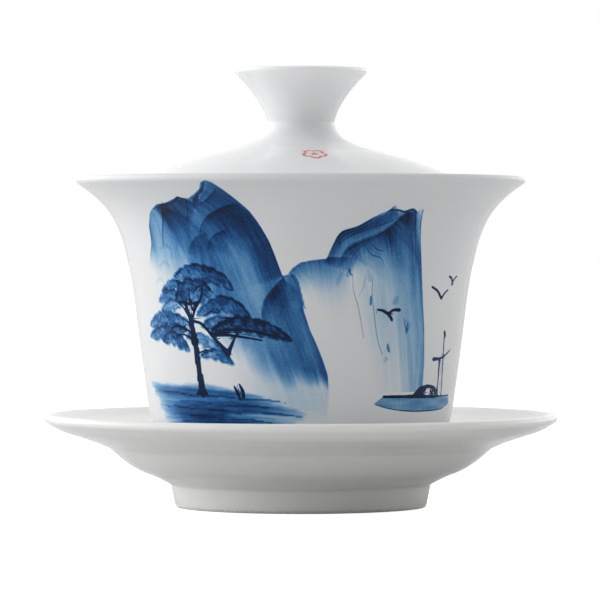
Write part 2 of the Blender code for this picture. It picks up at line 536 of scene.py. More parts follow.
def left_mountain(paint):
    """A leaning peak of overlapping ribs, its washes running down beside its right flank."""
    paint.allow(
        [
            (-45, 30), (-41.5, 48), (-37.1, 53.8), (-34.9, 57.7), (-33.9, 61.4), (-31.8, 64.2),
            (-30.1, 65.3), (-27.1, 66.2), (-25.1, 66.4), (-24, 66.8), (-22.5, 67.7), (-21.4, 67.3),
            (-20.4, 67.2), (-18.7, 68.1), (-17.1, 69.2), (-16.3, 70.4), (-15.2, 71), (-14.3, 70.5),
            (-13.2, 69.2), (-11.6, 67.2), (-9.4, 64.5), (-7.7, 61.3), (-6.2, 58.1), (-5.1, 54.9),
            (-3.8, 50.8), (-2.6, 51.2), (-1.7, 50.9), (-0.8, 49.4), (-0.1, 46.4), (0.6, 43.4),
            (2, 39.2), (3.3, 36.5), (4.9, 32.7), (5.9, 29.9), (6.3, 26), (6.2, 19), (-45, 19),
        ]
    )
    flank = [
        (-15.2, 71), (-11.6, 67.2), (-9.4, 64.5), (-7.7, 61.3), (-6.2, 58.1), (-5.1, 54.9),
        (-3.6, 50.2), (-1.2, 43.5), (1.5, 36), (4.2, 29), (6.5, 20),
    ]
    off, along, length, _ = paint.beside(smooth_path(flank), np.arange(len(paint.u)))
    inside = -off
    down = along * length
    hairs = mountain_wash(paint, inside, down)
    tone = [0.3, 0.8, 1.5, 1.9, 1.8, 1.6, 1.4]
    paint.shade(flank[:7], tone, [3, 5, 6.5, 6, 5, 4.5, 4], "along", 0.35, 11)
    mountain_ribs(paint)
    shoulder = soft_step(-0.4, 0.6, -28.6 - 0.42 * (paint.z - 63.4) - paint.u)
    paint.body *= 1 - 0.4 * shoulder
    band = np.exp(-(((inside - 7.2) / 1.5) ** 2))
    band = band * soft_step(9, 14, down) * (1 - soft_step(26, 34, down))
    paint.body *= 1 - 0.28 * band
    second_ridge(paint)
    mountain_mist(paint, inside, hairs)
    mountain_creases(paint)


def mountain_wash(paint, inside, down):
    """Lays the first wash, its brush turning from the flank's way to upright. Returns its streaks."""
    here = paint.u < LEFT_PART_END
    upright = soft_step(9, 15, inside)
    bent = inside * (1 - upright) - 0.8 * paint.u * upright
    paint.across = np.where(here, bent, paint.across)
    paint.along = np.where(here, down, paint.along)
    hairs = 0.20 * noise(bent / 0.6, down / 18, 3) + 0.28 * noise(bent / 1.8, down / 24, 4)
    depth = np.interp(inside, [0, 2, 5, 8, 12, 16, 21], [1.5, 1.5, 1.25, 1.3, 1.5, 1.45, 1.15])
    paint.body += np.maximum(depth * (1 + hairs), 0) * here
    return hairs


def mountain_ribs(paint):
    """Ribs that lean on each other below the peak, then the two edges of the left shoulder."""
    ribs = [
        ([(-20.6, 60), (-19.2, 62.2), (-17, 64), (-13.5, 65.6), (-10.8, 66.2)],
         [0.3, 0.9, 1.2, 1.3, 0.6], [3, 4, 5, 6, 4], "across", 0.4),
        ([(-19.6, 56.4), (-18.8, 58), (-17.2, 59.5), (-14.2, 60.8)],
         [0.3, 0.9, 0.9, 0.4], [3, 4, 4.5, 3], "across", 0.4),
        ([(-24.4, 55.6), (-23.2, 57.4), (-21.6, 59), (-18.8, 60)],
         [0.3, 0.8, 0.9, 0.4], [3, 4, 5, 3], "across", 0.4),
        ([(-30.4, 65), (-27.1, 66.1), (-24, 66.8), (-22.3, 67.6), (-19.4, 66)],
         [0.5, 1.2, 1.6, 1.8, 1.2], [4, 5, 6.5, 7, 5], "across", 0.4),
        ([(-14, 69.2), (-16.9, 66.9), (-20.4, 65.4)],
         [0.5, 0.8, 0.6], [2.5, 3, 2], "across", 0.4),
        ([(-27.4, 66), (-28.6, 63.4), (-30, 60.6), (-31.4, 56.8)],
         [1.3, 1.1, 0.6, 0.1], [4, 3, 2.5], "along", 0.55),
        ([(-30.4, 65.2), (-31.9, 64.1), (-33.9, 61.4), (-34.9, 57.7), (-37.1, 53.8)],
         [0.3, 0.6, 1.0, 0.8, 0.1], [0.8, 1.2, 1.2, 0.9], "along", 0.55),
    ]
    paint.shade_all(ribs, 21)


def mountain_mist(paint, inside, hairs):
    """Thins the mountain to bare white below a slanting line, and leaves a haze at its right."""
    left = [-38, -31, -25, -22, -18.6, -14, -10.8, -8.3, -3.2, 6]
    mist = np.interp(paint.u, left, [57, 53, 50.5, 47.5, 43.5, 39, 35, 31.8, 29.4, 28.4])
    softness = np.interp(paint.u, left, [4, 6, 8, 8, 8, 7, 6, 5, 3, 2])
    ragged = np.interp(paint.u, [-20, -4], [0.6, 1.3]) * noise(inside / 0.7, 0.5, 31)
    paint.body *= soft_step(-1, 1, (paint.z - mist + ragged) / softness)
    paint.body *= soft_step(-0.5, -0.2, paint.land)
    haze = 0.20 * soft_step(-16, -4, paint.u) * soft_step(19, 24, paint.z)
    haze = haze * (paint.u < LEFT_PART_END) * (1 - soft_step(30, 40, paint.z)) * (1 + hairs)
    paint.wash += haze * soft_step(-0.3, 0.6, paint.land)


def mountain_creases(paint):
    """Fine dark lines along the ribs, and four faint hooks on the left shoulder."""
    creases = [
        ([(-15.6, 70.6), (-16.9, 68.9), (-18.3, 67.9)], [0.2, 0.4, 0.4], 1.6),
        ([(-18.1, 68.1), (-18.8, 67.2), (-19.9, 66)], [0.4, 1.0, 0.5], 1.6),
        ([(-14.2, 69), (-16.9, 66.9), (-20.2, 65.4)], [0.15, 0.25, 0.15], 1.2),
        ([(-22.3, 67.5), (-24.2, 66.7), (-27.3, 65.9)], [0.3, 0.5, 0.35], 1.6),
        ([(-30.2, 65), (-28.4, 65.9), (-26.4, 66.1)], [0.15, 0.3, 0.3], 1.4),
        ([(-20.7, 59.8), (-19.3, 62.2), (-17, 64.1), (-13.3, 65.6)], [0.15, 0.28, 0.15], 1.0),
        ([(-18.9, 57.9), (-17.3, 59.5), (-14.6, 60.6)], [0.15, 0.25, 0.15], 1.0),
        ([(-23.6, 56.8), (-21.7, 59), (-18.9, 60)], [0.15, 0.2, 0.12], 0.8),
        ([(-27.6, 65.6), (-28.7, 63.2), (-30, 60.4), (-31, 57.4)], [0.45, 0.3, 0.25, 0.1], 1.6),
        ([(-21, 67), (-22, 64.2), (-23.6, 61.4)], [0.3, 0.22, 0.1], 1.0),
        ([(-31.9, 64), (-33.8, 61.2), (-34.7, 57.9), (-36.4, 54.8)], [0.12, 0.22, 0.2, 0.05], 1.0),
        ([(-8.6, 63), (-6.6, 58.6), (-4.4, 52.4), (-3.4, 49.8)], [0.08, 0.14, 0.22, 0.28], 1.0),
        ([(-3.4, 50.6), (-5, 49), (-6.6, 47.2), (-7.8, 45)], [0.3, 0.22, 0.16, 0.05], 1.2),
    ]
    for path, width, density in creases:
        paint.line(path, width, density, ragged=0.3, seed=33)
    for path, tone in (
        ([(-32.6, 56), (-30.6, 57.4), (-28.8, 56.4), (-29.4, 54.4)], 0.16),
        ([(-33.6, 52.6), (-31.4, 53.8), (-29.8, 52.4)], 0.16),
        ([(-28.4, 59.6), (-26.8, 58.4), (-27.4, 56)], 0.18),
        ([(-35.8, 49.2), (-34, 50.2), (-32.4, 49)], 0.14),
    ):
        paint.stroke(path, [0.4, 1.1, 0.4], tone, soft=0.5, seed=34)


def second_ridge(paint):
    """A lower ridge that starts under the flank, darkest in the crease between the two."""
    ridge = [
        ([(-3.5, 50.6), (-4.6, 49.3), (-6.3, 47.5), (-7.7, 45.6), (-8.3, 42.5), (-7.8, 38)],
         [1.5, 1.8, 1.5, 1.1, 0.6, 0.1], [3, 4.5, 5, 5], "along", 0.55),
        ([(-2.6, 51.2), (-1.7, 50.9), (-0.8, 49.4), (-0.1, 46.4), (0.6, 43.4), (2, 39.2),
          (3.3, 36.5), (4.9, 32.7), (6.2, 28)],
         [0.1, 0.2, 0.3, 0.4, 0.35, 0.35, 0.4, 0.5], [2, 3, 4, 6, 7, 7], "along", 0.8),
    ]
    paint.shade_all(ridge, 28)


def right_cliff(paint):
    """A low saddle, and a sheer cliff whose faces fall in vertical streaks."""
    paint.allow(
        [
            (-1, 49.8), (-2.5, 51.5), (-1.5, 52.7), (-0.1, 53.7), (2.3, 54.2), (5.1, 54.5), (6, 56.8),
            (7, 59.2), (7.9, 60.3), (10.9, 61.4), (12.8, 62.5), (14, 63.4), (15.6, 63.9),
            (16.6, 64.9), (17.3, 65.9), (18.1, 65), (19.7, 64.6), (21, 65.1), (21.8, 65),
            (22.6, 64.5), (23.7, 65.2), (24.3, 62.7), (25.2, 59.5), (26.6, 54.2), (28, 47.8),
            (29.9, 39.2), (31, 32), (31.4, 24.6), (9, 24.6), (6, 36), (0.2, 45),
        ]
    )
    u, z = paint.u, paint.z
    lean = u + 0.19 * (z - 45)
    here = u > 5
    paint.across = np.where(here, lean, paint.across)
    paint.along = np.where(here, z, paint.along)
    faces = [
        ([(-3, 51.6), (-1.5, 52.7), (-0.1, 53.7), (2.3, 54.2), (5.6, 54.7), (10.5, 54.8)],
         [1.1, 1.5, 1.6, 1.6, 1.3, 0.1], [2.6, 3.6, 4.6, 5], "across", 0.3),
        ([(4.6, 53.2), (6, 56.8), (7, 59.2), (7.9, 60.3), (10.9, 61.4), (12.8, 62.5),
          (15.6, 63.9), (17.2, 65.8)],
         [1.0, 1.8, 2.3, 2.5, 2.4, 2.2, 2.1, 1.7], [3, 4.4, 5, 4.6, 4, 3.4, 2.4], "along", 0.5),
        ([(7.6, 52.6), (8.9, 56.4), (12, 58.4), (15, 59.6), (17.6, 61.2), (20, 64), (22.8, 64.6)],
         [0.3, 0.9, 1.2, 1.3, 1.8, 2.1, 2.0], [2, 3.5, 4, 5, 8, 11, 12], "across", 0.6),
        ([(23.6, 65), (24.3, 62.7), (25.2, 59.5), (26.6, 54.2), (28, 47.8), (29.9, 39.2),
          (31, 32), (31.4, 23)],
         [0.9, 1.1, 1.0, 0.8, 0.65, 0.65, 0.75, 0.8], [4, 5, 6, 6, 5, 4, 3.5], "along", 0.55),
    ]
    paint.shade_all(faces, 41)
    columns = 0.34 + 0.26 * noise(lean / 1.2, z / 40, 45) + 0.2 * noise(lean / 0.5, z / 26, 46)
    face = soft_step(9, 25, lean) * soft_step(20, 50, z + 1.1 * (lean - 14))
    paint.body += np.maximum(columns, 0) * face * here * (0.8 + 1.0 * soft_step(46, 62, z))
    facet = soft_step(-0.15, 0.35, u - 22.6 - 0.34 * (64.5 - z)) * soft_step(54, 60, z)
    paint.body *= 1 - 0.62 * facet
    cliff_lines(paint)


def cliff_lines(paint):
    """The cliff's dark edges, then the small marks and dabs on its faces."""
    ridge_lines = [
        ([(6.2, 57), (8, 60.1), (10.9, 61.2), (13.9, 63.2), (16.4, 64.6)],
         [0.15, 0.35, 0.3, 0.35, 0.2], 1.2),
        ([(16.6, 64.7), (18.1, 64.8), (19.8, 64.4), (21.4, 64.9), (22.6, 64.3)],
         [0.2, 0.3, 0.35, 0.5, 0.2], 2.2),
        ([(7.4, 57.4), (9, 58.9), (11.7, 60.2), (14.7, 61.3), (17.6, 62.5), (19.6, 64.1)],
         [0.1, 0.25, 0.2, 0.25, 0.1], 1.0),
        ([(8.2, 54.4), (9.4, 56.4), (12.4, 58.1), (15, 59.2), (17.4, 60.8)], [0.1, 0.3, 0.2, 0.1], 1.1),
        ([(9.9, 54), (11.4, 56.4), (13.4, 57.8)], [0.1, 0.22, 0.1], 1.0),
        ([(12.6, 57.6), (14.4, 55.4), (16.6, 54.6), (17.6, 52.6)], [0.1, 0.25, 0.1], 1.0),
        ([(13.6, 58.2), (15.6, 56.4), (17.2, 56.2)], [0.1, 0.25, 0.1], 0.9),
        ([(17.4, 61.2), (18.2, 58), (19.2, 55)], [0.3, 0.25, 0.1], 1.0),
        ([(22.4, 64.2), (23.2, 61.6), (24.4, 57.6), (25.6, 52)], [0.35, 0.25, 0.1], 0.9),
        ([(23.8, 64.8), (24.5, 61.8), (26.8, 53.4), (28.9, 43.4), (30.6, 33)],
         [0.25, 0.16, 0.14, 0.18, 0.1], 0.9),
    ]
    for path, width, density in ridge_lines:
        paint.line(path, width, density, ragged=0.35, seed=48)
    marks = [
        ([(9.8, 52.6), (10, 51.7), (10.4, 51)], 0.4, 1.3),
        ([(10.6, 52), (11, 48), (12.3, 44), (13.8, 37.6)], 0.2, 0.7),
        ([(15.1, 51), (15.2, 47), (15.9, 43), (17.1, 37.4), (18.6, 34)], 0.28, 0.7),
        ([(12.2, 46.4), (13.2, 48.6), (13.4, 51)], 0.2, 0.5),
        ([(14.9, 46.6), (15, 45.4), (14.9, 44.8)], 0.55, 1.2),
        ([(19.7, 36.4), (20, 35.2), (20.3, 34.7)], 0.8, 1.2),
        ([(23.4, 42), (24.2, 39.6), (24.5, 38.4)], 0.28, 1.3),
        ([(24.7, 41.6), (24.7, 39.8), (24.5, 38.4)], 0.28, 1.2),
        ([(25.4, 40.6), (25, 39.6), (24.6, 38.6)], 0.25, 0.9),
    ]
    for path, width, density in marks:
        paint.line(path, [width * 0.4, width, width * 0.7], density, seed=47)
    for path, width, tone in (
        ([(9, 52.6), (8.2, 51), (7.4, 49)], 0.8, 0.3),
        ([(13.8, 52.4), (14.4, 50.6), (14.6, 49.6)], 0.9, 0.3),
        ([(19.2, 33.4), (19.8, 32.8)], 1.2, 0.35),
        ([(21.5, 46.6), (20.6, 44.6)], 1.1, 0.5),
        ([(11.8, 55.6), (10.4, 53.4), (9.4, 50.6)], 1.1, 0.5),
    ):
        paint.stroke(path, [width * 0.4, width, width * 0.7], tone, grain=0.25, soft=0.6, seed=49)


def ground(paint):
    """A bank of long level strokes under the pine."""
    here = (paint.z < BANK_TOP) & (paint.u < LEFT_PART_END)
    paint.across = np.where(here, paint.z + 0.0012 * (paint.u + 20) ** 2, paint.across)
    paint.along = np.where(here, paint.u, paint.along)
    rows = 11
    for row in range(rows):
        share = row / (rows - 1)
        left = np.interp(share, [0, 0.3, 1], [-45.5, -42, -38]) + 0.8 * math.sin(row * 2.3)
        right = np.interp(share, [0, 0.15, 0.35, 0.6, 0.8, 1], [-13, -7, -1, 2.2, -1.5, -3.5])
        right += 1.2 * math.sin(row * 1.7)
        height = 26.5 - 8.6 * share
        path = [
            (left, height + 0.9 * (1 - share)),
            (0.7 * left + 0.3 * right, height + 0.3 * math.sin(row)),
            (0.3 * left + 0.7 * right, height + 0.25 * math.cos(row * 1.3)),
            (right, height - 0.8),
        ]
        tone = [0.15, 0.65, 0.95, 1.1, 1.15, 1.1, 0.8, 0.3]
        paint.stroke(path, [1.2, 1.9, 1.9, 1.5, 0.8], tone, grain=0.75, soft=0.5, seed=60 + row)
    for row in range(12):
        middle = -33 + 2.4 * row + 1.5 * math.sin(row * 4.1)
        height = 25.6 - 0.62 * (row * 5 % 12)
        path = [(middle - 5.5, height + 0.2), (middle, height + 0.3), (middle + 6, height - 0.4)]
        paint.stroke(path, [0.15, 0.42, 0.15], 1.1, grain=0.5, seed=80 + row)


def pine(paint):
    """A spreading pine: flat clouds of needles on a tapering trunk with thin boughs."""
    pads = [
        ([(-27.2, 37.8), (-22.8, 37.4), (-18.6, 35.4)], 0.9, 1.4, 0.9),
        ([(-23.4, 33.8), (-19, 34.2), (-15.4, 32.2)], 0.9, 1.1, 1.3),
        ([(-35.4, 36.8), (-31.4, 37.6), (-26.8, 34.8)], 1.3, 1.4, 1.4),
        ([(-41.2, 37.7), (-35, 38.7), (-27, 39.4)], 1.3, 1.5, 1.3),
        ([(-40.6, 40.1), (-34, 41.4), (-25.9, 40.6)], 1.7, 1.6, 1.4),
        ([(-34.6, 43.4), (-31, 44.8), (-28, 44.4)], 0.9, 1.4, 0.8),
        ([(-35.2, 45.3), (-31.6, 46.8), (-28, 46.8)], 1.0, 1.2, 1.1),
        ([(-33.6, 47.5), (-30, 48.8), (-26.4, 49)], 0.9, 0.9, 1.4),
        ([(-23.6, 42.4), (-20.6, 43.6), (-16.4, 44.6), (-11, 42.3)], 1.7, 1.2, 1.4),
        ([(-22.4, 40), (-18.4, 40.8), (-14, 40)], 1.4, 1.5, 1.2),
        ([(-20.4, 38.8), (-14.4, 40.6), (-7.6, 39.6), (-2.2, 37.3)], 1.4, 1.5, 2.3),
        ([(-29.4, 45.6), (-24.6, 47.2), (-19.4, 47.2)], 3.0, 2.4, 1.7),
        ([(-29, 50.6), (-23.6, 51.4), (-17.6, 50), (-14.6, 48)], 1.8, 1.2, 1.6),
    ]
    for index, (spine, up, down, tone) in enumerate(pads):
        paint.pad(spine, up, down, tone, 100 + index)
    boughs = [
        ([(-23.9, 26.3), (-24.3, 30), (-24.7, 34.5)], [3.4, 2.8, 2.3]),
        ([(-24.7, 34.3), (-25, 38), (-25.7, 42), (-26.8, 45.4)], [2.3, 1.5, 1.1, 0.5]),
        ([(-25.1, 41.6), (-24, 44), (-22.4, 46), (-21.6, 49)], [0.5, 0.7, 0.5, 0.3]),
        ([(-24.9, 43.6), (-25.4, 46.6), (-25.2, 48.4)], [0.5, 0.4, 0.2]),
        ([(-25.3, 41), (-27, 43.6), (-28.4, 45)], [0.6, 0.5, 0.2]),
        ([(-25.3, 38.4), (-28.4, 40), (-31, 39.9), (-33, 38.6)], [0.5, 0.45, 0.4, 0.2]),
        ([(-25.2, 37), (-27.4, 38.2), (-30.4, 38)], [0.4, 0.3, 0.2]),
        ([(-24.7, 41.2), (-22.6, 40.6), (-19.4, 37.4), (-16.3, 34.3)], [0.6, 0.6, 0.8, 1.3]),
        ([(-16.3, 34.6), (-15.3, 36.4), (-14, 38.8)], [1.2, 0.7, 0.3]),
        ([(-19.6, 38.4), (-16, 38.3), (-12, 37.8), (-8.3, 37.2)], [1.0, 0.6, 0.45, 0.3]),
        ([(-18.6, 39.2), (-12, 39.4), (-6, 38.2), (-1.8, 37.2)], [0.3, 0.6, 0.6, 0.3]),
        ([(-24.4, 47.2), (-22.6, 48.6), (-20.4, 49.2)], [0.2, 0.4, 0.2]),
        ([(-28.6, 45.4), (-25.4, 44.9), (-22.4, 45.6)], [0.3, 0.6, 0.2]),
        ([(-24, 34.4), (-22, 35), (-20, 34.6)], [0.3, 0.25, 0.15]),
    ]
    for index, (path, width) in enumerate(boughs):
        paint.line(path, width, ragged=0.1, seed=130 + index)
    for root in (-25.6, -22.5):
        paint.line([(-24, 27.4), (0.5 * (root - 24), 26.2), (root, 25.5)], [1.4, 1.0, 0.5], seed=143)
    paint.line([(-15.4, 27.4), (-14.6, 26), (-14.1, 24.8)], [0.4, 0.85, 0.5], seed=145)
    paint.line([(-14.1, 27.9), (-13.3, 26.2), (-13.1, 24.9)], [0.4, 0.85, 0.5], seed=145)


def boat_and_birds(paint):
    """A small moored boat with a mast, and a few birds in flight."""
    hull = [
        (17.2, 23.6), (19.4, 25.1), (44.4, 24.9), (45.1, 23.2), (41, 22.1), (35, 21.8), (27, 21.9),
        (21, 22.6),
    ]
    inside = paint.edge_of(hull)
    planks = 1.0 + 0.35 * noise(paint.u / 6, paint.z / 0.7, 150)
    paint.body = np.where(inside > -0.4, planks, paint.body)
    paint.land = np.where(inside > -0.9, inside, paint.land)
    keel = [(17.4, 23.5), (21, 22.6), (27, 21.9), (35, 21.8), (41, 22.1), (45, 23.2)]
    paint.line(keel, [0.1, 0.24, 0.16], seed=151)
    paint.line([(19.6, 25.1), (28, 25), (37, 24.8)], [0.5, 0.8, 0.7], ragged=0.15, seed=152)
    paint.line([(37, 24.8), (44.6, 24.9)], [0.35, 0.2], seed=153)
    awning = [(28.2, 25.1), (30, 26.2), (31.8, 26.9), (34.4, 27), (36.6, 26), (38.2, 24.8)]
    paint.line(awning, [0.6, 1.1, 0.9, 0.8, 1.1, 0.5], ragged=0.2, seed=154)
    paint.line([(29.4, 25.4), (31.4, 25.9), (32.6, 26.4)], [0.8, 1.2, 0.5], ragged=0.2, seed=155)
    paint.line([(34.4, 26), (35.4, 25.4)], [0.5, 0.6], seed=156)
    masts = [
        ([(37.8, 38.4), (38.7, 31.5), (39.8, 24.8)], [0.42, 0.42, 0.36]),
        ([(37.8, 38.6), (38.5, 37.7)], [1.0, 0.3]),
        ([(36.9, 32.6), (37.3, 28.6), (37.8, 24.8)], [0.8, 0.38, 0.4]),
        ([(34.2, 32.9), (36.8, 33), (39.2, 33.6), (41.9, 34.8)], [0.8, 0.55, 0.36, 0.25]),
    ]
    birds = [
        ([(31, 48.5), (33.2, 47.5), (34.8, 45.9)], [0.45, 0.62, 0.6]),
        ([(34.8, 45.9), (35.8, 47), (37.1, 47.8)], [0.6, 0.42, 0.36]),
        ([(36.9, 50.7), (38.2, 50.1), (38.6, 48.8)], [0.48, 0.55, 0.6]),
        ([(38.6, 49.2), (39.2, 50), (40.3, 50.7)], [0.48, 0.36, 0.4]),
        ([(16.6, 43.7), (18, 43.5), (19.3, 42.9), (20.6, 43.6), (22.2, 43.6)],
         [0.4, 0.6, 0.65, 0.55, 0.8]),
        ([(18.9, 43), (19.9, 42.2), (20.4, 41.4)], [0.45, 0.7, 0.6]),
    ]
    for index, (path, width) in enumerate(masts + birds):
        paint.line(path, width, ragged=0.1, seed=160 + index)


def paint_landscape(u, z):
    """The whole painting, later parts laid over earlier ones."""
    paint = Painting(u, z)
    left_mountain(paint)
    right_cliff(paint)
    ground(paint)
    boat_and_birds(paint)
    pine(paint)
    return paint


# ================================================================ materials
class Nodes:
    """A node tree, with each sum written as a call."""

    def __init__(self, tree):
        self.tree = tree

    def node(self, kind, **settings):
        made = self.tree.nodes.new(kind)
        for name, value in settings.items():
            setattr(made, name, value)
        return made

    def feed(self, socket, value):
        if isinstance(value, bpy.types.NodeSocket):
            self.tree.links.new(value, socket)
        else:
            socket.default_value = value

    def fill(self, node, inputs):
        """Feeds several inputs of a node, each listed by its name."""
        for name, value in inputs.items():
            self.feed(node.inputs[name], value)

    def math(self, operation, *values):
        made = self.node("ShaderNodeMath", operation=operation)
        for socket, value in zip(made.inputs, values):
            self.feed(socket, value)
        return made.outputs[0]

    def times(self, first, second):
        return self.math("MULTIPLY", first, second)

    def camera_sees(self):
        """1 for what the camera sees directly, 0 for light passed on between surfaces."""
        return self.node("ShaderNodeLightPath").outputs["Is Camera Ray"]


class Shader(Nodes):
    """A material's nodes, measuring the piece in millimetres."""

    def __init__(self, name):
        self.material = bpy.data.materials.new(name)
        self.material.use_nodes = True
        super().__init__(self.material.node_tree)
        self.surface = self.tree.nodes["Principled BSDF"]
        self.place = self.vector("SCALE", self.node("ShaderNodeTexCoord").outputs["Object"], 1 / MM)
        parts = self.node("ShaderNodeSeparateXYZ")
        self.feed(parts.inputs[0], self.place)
        self.x, self.y, self.z = parts.outputs

    def vector(self, operation, vector, other):
        made = self.node("ShaderNodeVectorMath", operation=operation)
        self.feed(made.inputs[0], vector)
        self.feed(made.inputs["Scale" if operation == "SCALE" else 1], other)
        return made.outputs[0]

    def step(self, value, low, high):
        """0 below low, 1 above high, smooth between."""
        made = self.node("ShaderNodeMapRange", interpolation_type="SMOOTHSTEP")
        self.fill(made, {"Value": value, "From Min": low, "From Max": high})
        return made.outputs["Result"]

    def fade(self, value, low, high):
        """1 below low, 0 above high, smooth between."""
        return self.math("SUBTRACT", 1.0, self.step(value, low, high))

    def noise_at(self, vector, scale, detail, dimensions="3D"):
        """Noise from about -1 to 1."""
        made = self.node("ShaderNodeTexNoise", noise_dimensions=dimensions)
        self.fill(made, {"Vector": vector, "Scale": scale, "Detail": detail})
        return self.math("MULTIPLY_ADD", made.outputs["Fac"], 2.0, -1.0)

    def noise(self, size, detail=2.0, stretch=(1, 1, 1)):
        """Noise over the piece, with grains of a size in millimetres."""
        return self.noise_at(self.vector("MULTIPLY", self.place, stretch), 1 / size, detail)

    def painted(self, name):
        """A value of the painting, held at each point of the mesh."""
        return self.node("ShaderNodeAttribute", attribute_name=name).outputs["Fac"]

    def mix(self, share, first, second, blend="MIX"):
        made = self.node("ShaderNodeMix", data_type="RGBA", blend_type=blend)
        self.fill(made, {"Factor": share, "A": first, "B": second})
        return made.outputs["Result"]


def srgb(red, green, blue):
    """A colour given as a screen shows it, from 0 to 255, as the linear one that nodes take."""
    shares = [channel / 255 for channel in (red, green, blue)]
    line = [s / 12.92 if s <= 0.04045 else ((s + 0.055) / 1.055) ** 2.4 for s in shares]
    return (*line, 1.0)


# One porcelain in three whites, each set to how bright its piece looks under the lights: the lid's is
# lighter, painted light, and the saucer's is darker, painted shade. The bowl's is darkest, painted
# shade for its wall under the flared lip and for the light lost inside the porcelain.
BOWL_SHADED_WHITE = (0.730, 0.740, 0.752, 1.0)
LID_LIT_WHITE = (0.795, 0.812, 0.825, 1.0)
SAUCER_SHADED_WHITE = (0.765, 0.768, 0.758, 1.0)
WARM_WHITE = (0.785, 0.780, 0.765, 1.0)
WARM_SHARE = 0.35
BARE_CLAY = (0.62, 0.56, 0.47, 1.0)
GLAZE_ROUGHNESS = 0.05
BARE_ROUGHNESS = 0.75
# Half the height over which the glaze gives way to bare clay.
BARE_BLUR = 0.15
GLAZE_IOR = 1.5
PAINTED_GLAZE_IOR = 1.29
LIGHT_REACH = (1.0, 0.97, 0.94)
LIGHT_DEPTH = 2.5 * MM
TRANSLUCENCE = 0.7


def glazed(shader, colour, bare_below, translucent=TRANSLUCENCE, ior=GLAZE_IOR):
    """Clear glaze over a colour, with the foot's edge wiped bare below a height."""
    ragged = shader.math("MULTIPLY_ADD", shader.noise(1.6), 0.12, shader.z)
    bare = shader.fade(ragged, bare_below - BARE_BLUR, bare_below + BARE_BLUR)
    clay = shader.mix(shader.step(shader.noise(0.5), -0.4, 0.6), BARE_CLAY, WARM_WHITE)
    uneven = shader.math("MULTIPLY_ADD", shader.noise(5.0), 0.02, GLAZE_ROUGHNESS)
    pooled = shader.times(shader.noise(9.0, 1.0), 0.030)
    peel = shader.times(shader.noise(0.9, 1.0), 0.0012)
    rings = shader.times(shader.noise(2.2, 1.0, (0.02, 0.02, 1.0)), 0.006)
    grit = shader.times(shader.times(shader.noise(0.25), bare), 0.02)
    height = shader.math("ADD", shader.math("ADD", pooled, peel), shader.math("ADD", rings, grit))
    bump = shader.node("ShaderNodeBump")
    shader.fill(bump, {"Height": shader.times(height, MM), "Distance": 1.0, "Strength": 1.0})
    surface = {
        "Base Color": shader.mix(bare, colour, clay),
        "Roughness": shader.math("MULTIPLY_ADD", bare, BARE_ROUGHNESS - GLAZE_ROUGHNESS, uneven),
        "IOR": ior,
        "Normal": bump.outputs["Normal"],
        "Subsurface Weight": translucent,
        "Subsurface Radius": LIGHT_REACH,
        "Subsurface Scale": LIGHT_DEPTH,
    }
    shader.fill(shader.surface, surface)
    return shader.material


def white_body(shader, white):
    """Porcelain white, a touch warmer in slow patches."""
    patches = shader.step(shader.noise(14.0), -0.6, 0.6)
    return shader.mix(shader.times(patches, WARM_SHARE), white, WARM_WHITE)


# How strongly the pigment takes each colour from the light, by its density.
RED_LOSS = 1.95
GREEN_LOSS = 1.0
BLUE_LOSS = 0.32
BLUE_LOSS_DENSE = 0.085
LAND_BLUR = 0.12
LINE_BLUR = 0.07
HAIR_WIDTH = 0.30
HAIR_LENGTH = 6.0
MOST_DENSITY = 4.4


def brush_hairs(shader):
    """Hairlines along the way the brush ran, from about -1 to 1."""
    run = shader.node("ShaderNodeCombineXYZ")
    shader.feed(run.inputs[0], shader.times(shader.painted("across"), 1 / HAIR_WIDTH))
    shader.feed(run.inputs[1], shader.times(shader.painted("along"), 1 / HAIR_LENGTH))
    return shader.noise_at(run.outputs[0], 1.0, 2.0, "2D")


def cobalt(shader, density):
    """What is left of white light after cobalt pigment of a density."""
    colour = shader.node("ShaderNodeCombineColor")
    dense_blue = shader.math("MULTIPLY_ADD", density, -BLUE_LOSS_DENSE, -BLUE_LOSS)
    for socket, loss in zip(colour.inputs, (-RED_LOSS, -GREEN_LOSS, dense_blue)):
        shader.feed(socket, shader.math("EXPONENT", shader.times(density, loss)))
    return colour.outputs[0]


def painted_glaze():
    """Cobalt under the glaze: pigment by stroke, grained where it settled."""
    shader = Shader("painted_porcelain_glaze")
    inside = shader.step(shader.painted("land"), -LAND_BLUR, LAND_BLUR)
    body = shader.times(shader.painted("body"), inside)
    pigment = shader.math("ADD", body, shader.painted("wash"))
    streaked = shader.math("MULTIPLY_ADD", brush_hairs(shader), 0.30, 1.0)
    settled = shader.math("MULTIPLY_ADD", shader.noise(0.5, 3.0), 0.22, 1.0)
    patchy = shader.math("MULTIPLY_ADD", shader.noise(3.5, 2.0), 0.18, settled)
    pigment = shader.times(pigment, shader.times(streaked, patchy))
    off_line = shader.math("ABSOLUTE", shader.painted("line_off"))
    depth = shader.math("SUBTRACT", shader.painted("line_half"), off_line)
    ink = shader.step(depth, -LINE_BLUR, LINE_BLUR)
    pigment = shader.math("MULTIPLY_ADD", ink, shader.painted("line_density"), pigment)
    left_over = cobalt(shader, shader.math("MINIMUM", pigment, MOST_DENSITY))
    # The bowl's white under the painting is darkened, as painted shade.
    painted = shader.mix(1.0, white_body(shader, BOWL_SHADED_WHITE), left_over, "MULTIPLY")
    return glazed(shader, painted, BOWL_FOOT + 0.7, translucent=0.0, ior=PAINTED_GLAZE_IOR)


MARK_ANGLE = math.radians(8)
MARK_RADIUS = 21.0
MARK_STRETCH = 1.28
MARK_SIZE = 2.5
MARK_PETALS = 5
# How far the outline dips between two petals, as a share of the flower's size.
MARK_NOTCH = 0.34
# Nothing red below this height.
MARK_LOWEST = 74.9
MARK_RED = srgb(214, 58, 30)


